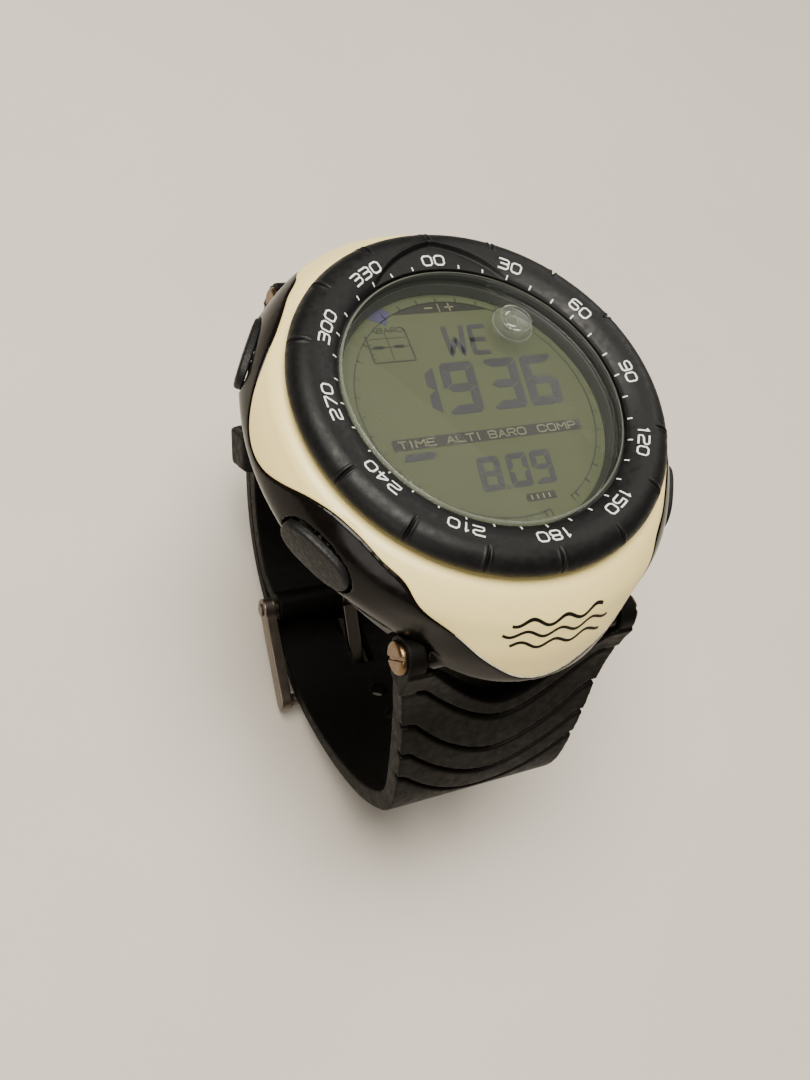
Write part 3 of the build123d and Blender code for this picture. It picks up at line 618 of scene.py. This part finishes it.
def make_lcd():
    n = 240
    rings = [(0.0, LCD_TOP), (6.0, LCD_TOP), (12.0, LCD_TOP), (16.4, LCD_TOP), (17.25, LCD_TOP),
             (17.37, LCD_TOP - 0.05), (17.4, LCD_TOP - 0.15), (17.4, 9.7), (17.3, 9.62), (12.0, 9.6),
             (0.0, 9.6)]
    verts = []
    for i in range(n):
        t = 2 * math.pi * i / n
        for r, z in rings:
            y = max(-17.0, min(17.0, r * math.sin(t)))
            verts.append((r * math.cos(t) * MM, y * MM, z * MM))
    o = new_object("display_cell", verts, grid_faces(n, len(rings)), MATS["lcd_glass"], "case")
    bm = bmesh.new()
    bm.from_mesh(o.data)
    bmesh.ops.remove_doubles(bm, verts=bm.verts, dist=1e-7)
    bm.to_mesh(o.data)
    bm.free()
    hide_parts("display_glass")


make_lcd()

SEG = {"0": "abcdef", "1": "bc", "2": "abged", "3": "abgcd", "4": "fgbc", "5": "afgcd", "6": "afgedc",
       "7": "abc", "8": "abcdefg", "9": "abcdfg"}


def segment_digit(p, ch, x, y, w, h, t, slant=0.13, g=0.05):
    """Seven-segment digit whose lower left corner is (x, y): mitred bars with soft outer corners."""
    m = h / 2
    c = t * 0.34
    k = t * 0.5

    def q(px, py):
        return (x + px + slant * py, y + py)
    shapes = {
        "a": [(c + g, h), (w - c - g, h), (w - g * 1.2, h - c + g * 0.3), (w - t - g, h - t), (t + g, h - t),
              (g * 1.2, h - c + g * 0.3)],
        "d": [(c + g, 0), (w - c - g, 0), (w - g * 1.2, c - g * 0.3), (w - t - g, t), (t + g, t),
              (g * 1.2, c - g * 0.3)],
        "f": [(0, h - c - g * 1.6), (0, m + g), (k * 0.6, m + g), (t, m + k + g), (t, h - t - g * 1.2)],
        "b": [(w, h - c - g * 1.6), (w, m + g), (w - k * 0.6, m + g), (w - t, m + k + g),
              (w - t, h - t - g * 1.2)],
        "e": [(0, c + g * 1.6), (0, m - g), (k * 0.6, m - g), (t, m - k - g), (t, t + g * 1.2)],
        "c": [(w, c + g * 1.6), (w, m - g), (w - k * 0.6, m - g), (w - t, m - k - g), (w - t, t + g * 1.2)],
        "g": [(k * 0.75 + g, m), (t + g * 0.6, m + k - g), (w - t - g * 0.6, m + k - g),
              (w - k * 0.75 - g, m), (w - t - g * 0.6, m - k + g), (t + g * 0.6, m - k + g)],
    }
    for seg in SEG[ch]:
        p.polygon([q(*v) for v in shapes[seg]])


def circle_points(cx, cy, r, a0, a1, count):
    return [(cx + r * math.cos(math.radians(a0 + (a1 - a0) * i / count)),
             cy + r * math.sin(math.radians(a0 + (a1 - a0) * i / count))) for i in range(count + 1)]


SCALE_X, SCALE_Y, SCALE_R = 0.5, 0.3, 15.5


def on_scale(r, deg):
    """Point at a radius and angle from the centre of the display's scale circle."""
    a = math.radians(deg)
    return (SCALE_X + r * math.cos(a), SCALE_Y + r * math.sin(a))


def make_lcd_print():
    ink = Print(lcd_place)
    segment_digit(ink, "1", -8.6, -0.75, 4.05, 7.4, 1.25)
    segment_digit(ink, "9", -3.65, -0.75, 4.65, 7.4, 1.25)
    segment_digit(ink, "3", 2.45, -0.75, 4.65, 7.4, 1.25)
    segment_digit(ink, "6", 7.75, -0.75, 4.65, 7.4, 1.25)
    segment_digit(ink, "8", -3.45, -11.4, 2.95, 4.55, 0.78)
    segment_digit(ink, "0", 0.45, -11.4, 2.85, 4.55, 0.78)
    segment_digit(ink, "9", 3.75, -11.4, 2.85, 4.55, 0.78)
    ink.polygon([(-0.25, -11.4), (0.2, -11.4), (0.22, -10.95), (-0.23, -10.95)])
    ink.text("W", -0.55, 7.75, 2.45, 3.95, 0.5, 0.34, slant=0.13)
    ink.text("E", 3.05, 7.75, 1.85, 3.95, 0.5, 0.34, slant=0.13)
    ink.polygon([(-11.75, -6.25), (-8.0, -6.25), (-7.55, -5.85), (-7.65, -5.3), (-11.1, -5.25),
                 (-11.5, -5.6)])
    ink.build("display_digits", INK, "case", 0.02)

    bar = Print(lcd_place)
    bar.polygon([(-12.5, -4.75), (13.2, -4.75), (13.2, -3.25), (-12.5, -3.25)])
    bar.polygon(circle_points(SCALE_X, SCALE_Y, SCALE_R, 64, 116, 40))
    bar.polygon([(1.6, -13.45), (5.6, -13.45), (5.6, -12.45), (1.6, -12.45)])
    for x in (-9.6, -6.9):
        bar.polygon([(x - 0.55, 9.4), (x + 0.75, 9.4), (x + 0.75, 9.85), (x - 0.55, 9.85)])
    bar.build("display_bars", INK_DARK, "case", 0.02)

    line = Print(lcd_place)
    line.ribbon(circle_points(SCALE_X, SCALE_Y, SCALE_R, -63, 243, 260), 0.075, 0.4)
    line.ribbon(circle_points(SCALE_X, SCALE_Y, SCALE_R, 243, 283, 30), 0.075, 0.4)
    for k in range(36):
        a = 10.0 * k
        if 283 < a < 297:
            continue
        r0, r1 = (14.95, SCALE_R) if 120 < a < 250 else (SCALE_R, 16.15)
        line.ribbon([on_scale(r0, a), on_scale(r1, a)], 0.085, 0.3)
    for a in (283, 297):
        line.ribbon([on_scale(SCALE_R, a), on_scale(16.3, a)], 0.085, 0.3)
    line.ribbon([(-10.75, 11.3), (-10.75, 7.45), (-5.3, 7.45), (-5.3, 12.1)], 0.10)
    line.ribbon([(-8.05, 7.6), (-8.05, 11.6)], 0.05)
    line.ribbon([(-10.6, 9.62), (-5.45, 9.62)], 0.05)
    line.ribbon([(-10.2, 10.9), (-5.5, 10.9)], 0.04)
    line.text("BARO", -8.95, 11.75, 0.68, 0.66, 0.22, 0.06, narrow={"O": 1.1})
    for i in range(5):
        line.ribbon([(-10.6, 8.0 + 0.7 * i), (-10.3, 8.0 + 0.7 * i)], 0.04)
    line.build("display_scale", INK_LINE, "case", 0.02)

    mark = Print(lcd_place)
    t = math.radians(-28.0)
    cx, cy, h = -7.9, 14.3, 1.12
    square = [(-h, -h), (h, -h), (h, h), (-h, h)]
    mark.polygon([(cx + x * math.cos(t) - y * math.sin(t), cy + x * math.sin(t) + y * math.cos(t))
                  for x, y in square])
    mark.build("display_marker", INK_VIOLET, "case", 0.02)

    light = Print(lambda x, y: lcd_place(x, y, LCD_TOP + 0.045))
    for word, x in (("TIME", -11.7), ("ALTI", -5.5), ("BARO", 0.15), ("COMP", 7.0)):
        light.text(word, x, -4.47, 0.98, 0.92, 0.34, 0.085, narrow={"I": 0.5, "M": 1.2, "O": 1.1, "C": 1.1})
    light.ribbon([(-1.35, 14.95), (-0.45, 14.95)], 0.11)
    light.ribbon([(0.5, 14.35), (0.5, 15.5)], 0.07)
    light.ribbon([(1.5, 14.95), (2.5, 14.95)], 0.11)
    light.ribbon([(2.0, 14.45), (2.0, 15.45)], 0.11)
    for x in (2.3, 3.1, 3.9, 4.7):
        light.ribbon([(x, -12.75), (x, -13.15)], 0.11)
    light.build("display_labels", LCD_LIGHT, "case", 0.015)


make_lcd_print()

# ---------------------------------------------------------------- mark and painted edge highlight on the cover
def cover_place(x, z, lift=0.02):
    """Point on the cover's 6 o'clock tongue at a given x and height."""
    lo, hi = math.radians(180.0), math.radians(360.0)
    for _ in range(40):
        mid = (lo + hi) / 2
        r = float(env(np.float64(mid), np.float64(z)))
        if r * math.cos(mid) < x:
            lo = mid
        else:
            hi = mid
    a = (lo + hi) / 2
    r = float(env(np.float64(a), np.float64(z))) + lift
    return (r * math.cos(a) * MM, r * math.sin(a) * MM, z * MM)


def make_cover_mark():
    p = Print(cover_place)
    for row, (z0, x0, x1) in enumerate(((9.35, -5.6, 6.2), (8.15, -6.6, 7.2), (6.95, -5.6, 6.2))):
        n = 60
        pts = []
        for i in range(n + 1):
            x = x0 + (x1 - x0) * i / n
            pts.append((x, z0 + 0.33 * math.sin((x + 0.6 * row) * 2 * math.pi / 4.3)))
        p.ribbon(pts, 0.17, 0.3)
    p.build("cover_mark", BLACK_PRINT, "case", 0.0)


def make_painted_edge_highlight():
    """Painted highlight along the lower edge of both tongues: a near-white strip of uneven width, lighter
    than the paint.
    """
    verts, faces = [], []
    for centre in (270.0, 90.0):
        start = len(verts)
        n = 260
        for i in range(n + 1):
            a = math.radians(centre - 24 + 48 * i / n)
            t = 48 * i / n
            w = 0.10 + 0.07 * math.sin(t * 2.1) + 0.06 * math.sin(t * 5.3 + 1) + 0.05 * math.sin(t * 11.7 + 2)
            w = max(0.015, w) * (1 - (abs(t - 24) / 24) ** 4)
            z = float(wave_height(np.array([a]))[0]) + 0.22
            for k, dz in ((0, -0.05), (1, 0.25 * w), (2, w)):
                r = float(env(np.float64(a), np.float64(z + dz))) + (0.012 if k else 0.0)
                verts.append((r * math.cos(a) * MM, r * math.sin(a) * MM, (z + dz) * MM))
        for i in range(n):
            for k in range(2):
                q = start + 3 * i + k
                faces.append((q, q + 3, q + 4, q + 1))
    new_object("cover_edge_highlight_strip", verts, faces, EDGE_HIGHLIGHT_PAINT, "case")


# Near-white paint for the painted highlight along the lower edge of the cover's tongues.
EDGE_HIGHLIGHT_PAINT = material("edge_highlight_paint", rgb(250, 248, 238), 0.6, mottle=0.05, mottle_scale=2500, bump=0.2)
make_cover_mark()
make_painted_edge_highlight()


# ---------------------------------------------------------------- softened copies of CAD shapes
def soften(node_name, name, body, voxel, rounds, factor=0.5, edit=None):
    """A new piece from a node's shape, with its hard edges and corners rounded as moulded."""
    me = nodes[node_name].data.copy()
    me.name = name
    bm = bmesh.new()
    bm.from_mesh(me)
    bmesh.ops.remove_doubles(bm, verts=bm.verts, dist=2e-6)
    if edit:
        edit(bm)
    bm.to_mesh(me)
    bm.free()
    o = bpy.data.objects.new(name, me)
    scene.collection.objects.link(o)
    if voxel:
        m = o.modifiers.new("remesh", "REMESH")
        m.mode = "VOXEL"
        m.voxel_size = voxel * MM
        m.use_smooth_shade = True
    m = o.modifiers.new("smooth", "SMOOTH")
    m.factor = factor
    m.iterations = rounds
    bpy.context.view_layer.update()
    done = bpy.data.meshes.new_from_object(o.evaluated_get(bpy.context.evaluated_depsgraph_get()))
    o.modifiers.clear()
    o.data = done
    for p in done.polygons:
        p.use_smooth = True
    done.materials.clear()
    slot = SLOTS[node_name]
    done.materials.append(MATS[slot])
    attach(o, body)
    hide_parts(node_name)


soften("case_body", "case_shell", "case", 0.2, 6)
soften("strap_long", "strap_long_rubber", "case", 0.16, 6)
soften("strap_short", "strap_short_rubber", "case", 0.18, 6)
soften("strap_keeper", "keeper_rubber", "keeper", 0.22, 6)
soften("buckle_frame", "buckle_frame_steel", "buckle", 0.13, 9)
soften("buckle_tongue", "buckle_tongue_steel", "tongue", 0.10, 6)


def turn_slot(side_y):
    """Turns a pair of lug screws about their own axis, so their slots stand as they were driven."""
    def edit(bm):
        angle = math.radians(SLOT_TURN)
        c, s = math.cos(angle), math.sin(angle)
        for v in bm.verts:
            y = v.co.y - side_y * MM
            z = v.co.z - LUG_Z * MM
            v.co.y = side_y * MM + y * c - z * s
            v.co.z = LUG_Z * MM + y * s + z * c
    return edit


LUG_Y = 25.2
LUG_Z = 0.2
SLOT_TURN = 118.0
soften("lug_screws_6", "lug_screw_heads_6", "case", 0.06, 3, edit=turn_slot(-LUG_Y))
soften("lug_screws_12", "lug_screw_heads_12", "case", 0.06, 3, edit=turn_slot(LUG_Y))


# ---------------------------------------------------------------- crystal with painted rim highlight, and level with painted highlights
def lathe(name, profile, mat, body, cx=0.0, cy=0.0, n=160, closed=False, smooth=True):
    verts = []
    for i in range(n):
        t = 2 * math.pi * i / n
        for r, z in profile:
            verts.append(((cx + r * math.cos(t)) * MM, (cy + r * math.sin(t)) * MM, z * MM))
    return new_object(name, verts, grid_faces(n, len(profile), True, closed), mat, body, smooth)


# Pale translucent material for painted highlights on the edges of the crystal and the level.
GLASS_EDGE_HIGHLIGHT = material("glass_edge_highlight", rgb(126, 130, 118), 0.12, mottle=0.05, mottle_scale=400, bump=0.0,
                      alpha=0.42, specular=0.6, rough_var=0.04)
# Near-white material for the painted glints on the level.
GLINT = material("glass_glint", rgb(236, 238, 232), 0.06, mottle=0.03, bump=0.0, alpha=0.8, specular=1.0,
                 rough_var=0.03)


def make_crystal():
    top = [(0.02, 14.0), (6.0, 14.0), (12.0, 14.0), (17.3, 14.0), (17.52, 13.98), (17.66, 13.9),
           (17.76, 13.78), (17.8, 13.6), (17.8, 12.65), (18.3, 12.6), (18.35, 12.5), (18.35, 12.15),
           (18.2, 12.1), (0.02, 12.1)]
    o = lathe("crystal_glass", top, MATS["crystal_clear"], "case", n=200)
    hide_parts("crystal")
    # A pale translucent ring along the crystal's top edge: a painted highlight for the bright line of the
    # rim.
    rim = [(17.50, 14.005), (17.60, 13.985), (17.70, 13.92), (17.78, 13.82), (17.815, 13.7), (17.80, 13.62),
           (17.70, 13.80), (17.60, 13.90)]
    lathe("crystal_edge_highlight", rim, GLASS_EDGE_HIGHLIGHT, "case", n=200, closed=True)


def make_display_ring():
    prof = [(17.02, 10.46), (17.03, 10.8), (17.10, 11.2), (17.22, 11.7), (17.33, 11.98), (17.45, 12.04),
            (17.5, 11.95), (17.5, 10.44), (17.3, 10.42)]
    o = lathe("display_rehaut", prof, MATS["ring_plastic"], "case", n=200, closed=True)
    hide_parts("display_ring")


def tube_ring(name, radius, z, tube, mat, cx, cy, a0=0.0, a1=360.0, n=72, m=10):
    full = abs(a1 - a0) >= 360.0
    rows = n if full else n + 1
    verts = []
    for i in range(rows):
        t = math.radians(a0 + (a1 - a0) * i / n)
        k = 1.0 if full else max(0.15, math.sin(math.pi * i / n) ** 0.5)
        for j in range(m):
            q = 2 * math.pi * j / m
            r = radius + tube * k * math.cos(q)
            verts.append(((cx + r * math.cos(t)) * MM, (cy + r * math.sin(t)) * MM,
                          (z + tube * k * math.sin(q)) * MM))
    new_object(name, verts, grid_faces(rows, m, full, True), mat, "case")


def make_level():
    x, y = 8.2, 9.9
    dome = [(0.02, 13.98), (1.2, 13.97), (1.9, 13.9), (2.2, 13.72), (2.45, 13.35), (2.62, 12.9), (2.7, 12.45),
            (2.7, 12.2), (2.45, 12.15), (2.3, 12.6), (2.1, 13.2), (1.8, 13.5), (1.0, 13.6), (0.02, 13.62)]
    o = lathe("level_dome", dome, MATS["vial_clear"], "case", x, y, n=90)
    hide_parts("level_vial")
    # Pale rings at the dome's lower rim, at its top and around the bubble, and near-white arcs over the dome:
    # painted highlights.
    tube_ring("level_rim_highlight_low", 2.62, 12.75, 0.07, GLASS_EDGE_HIGHLIGHT, x, y)
    tube_ring("level_rim_highlight_top", 2.02, 13.86, 0.06, GLASS_EDGE_HIGHLIGHT, x, y)
    tube_ring("level_bubble_highlight_ring", 0.82, 13.5, 0.06, GLASS_EDGE_HIGHLIGHT, x - 0.45, y - 0.1)
    tube_ring("level_glint_a", 0.82, 13.56, 0.10, GLINT, x - 0.45, y - 0.1, 200, 290, 24)
    tube_ring("level_glint_b", 1.35, 13.6, 0.09, GLINT, x, y, 95, 140, 20)
    tube_ring("level_glint_c", 1.5, 13.5, 0.08, GLINT, x, y, 235, 280, 20)
    tube_ring("level_glint_d", 2.2, 13.65, 0.07, GLINT, x, y, 60, 110, 24)
    drop = [(0.02, 13.3), (0.5, 13.25), (0.75, 13.0), (0.82, 12.7), (0.7, 12.45), (0.4, 12.3), (0.02, 12.26)]
    o = lathe("level_bubble", drop, MATS["level_liquid"], "case", x - 0.45, y - 0.1, n=48)
    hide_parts("level_fluid")


make_crystal()
make_display_ring()
make_level()


# ---------------------------------------------------------------- buttons
def make_button(name, deg):
    """Oval rubber cap: soft top edge, slightly domed face with a pebbled centre."""
    hl, hh, inner, outer, zc = 5.0, 2.5, 26.8, 28.0, 5.8
    rows, cols = 120, 26
    verts = []
    for i in range(rows):
        t = 2 * math.pi * i / rows
        for j in range(cols + 2):
            u = j / cols
            if j == cols + 1:
                depth = inner
                scale = 0.002
            elif u < 0.72:
                k = u / 0.72
                depth = outer - 0.10 * k ** 2
                scale = k * 0.86
            elif u < 0.9:
                q = (u - 0.72) / 0.18 * math.pi / 2
                scale = 0.86 + 0.14 * math.sin(q)
                depth = outer - 0.10 - 0.42 * (1 - math.cos(q))
            else:
                q = (u - 0.9) / 0.1
                scale = 1.0
                depth = outer - 0.52 - (outer - 0.52 - inner) * q
            a = math.copysign(abs(math.cos(t)) ** 0.74, math.cos(t)) * hl * max(scale, 0.002)
            b = math.copysign(abs(math.sin(t)) ** 0.84, math.sin(t)) * hh * max(scale, 0.002)
            if scale < 0.8 and j <= cols:
                pebble = math.sin(a * 9.0 + 1.3 * math.sin(b * 7)) * math.sin(b * 9.5 + 1.1 * math.sin(a * 6))
                depth += 0.022 * pebble
            verts.append((depth, a, zc + b))
    turn_z = math.radians(deg)
    c, s = math.cos(turn_z), math.sin(turn_z)
    world_verts = [((x * c - y * s) * MM, (x * s + y * c) * MM, z * MM) for x, y, z in verts]
    body = name + "_body"
    o = new_object(name + "_cap", world_verts, grid_faces(rows, cols + 2), MATS["button_rubber"], body)
    stem = []
    for i in range(24):
        t = 2 * math.pi * i / 24
        for r, x in ((0.02, 17.86), (0.62, 17.86), (0.62, 18.36), (0.9, 18.4), (0.9, 26.95)):
            px, py, pz = x, r * math.cos(t), zc + r * math.sin(t)
            stem.append(((px * c - py * s) * MM, (px * s + py * c) * MM, pz * MM))
    new_object(name + "_stem", stem, grid_faces(24, 5), MATS["spring_steel"], body)
    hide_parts(name)


for b_name, b_deg in (("button_2", 30.0), ("button_10", 150.0), ("button_8", 210.0), ("button_4", -30.0)):
    make_button(b_name, b_deg)
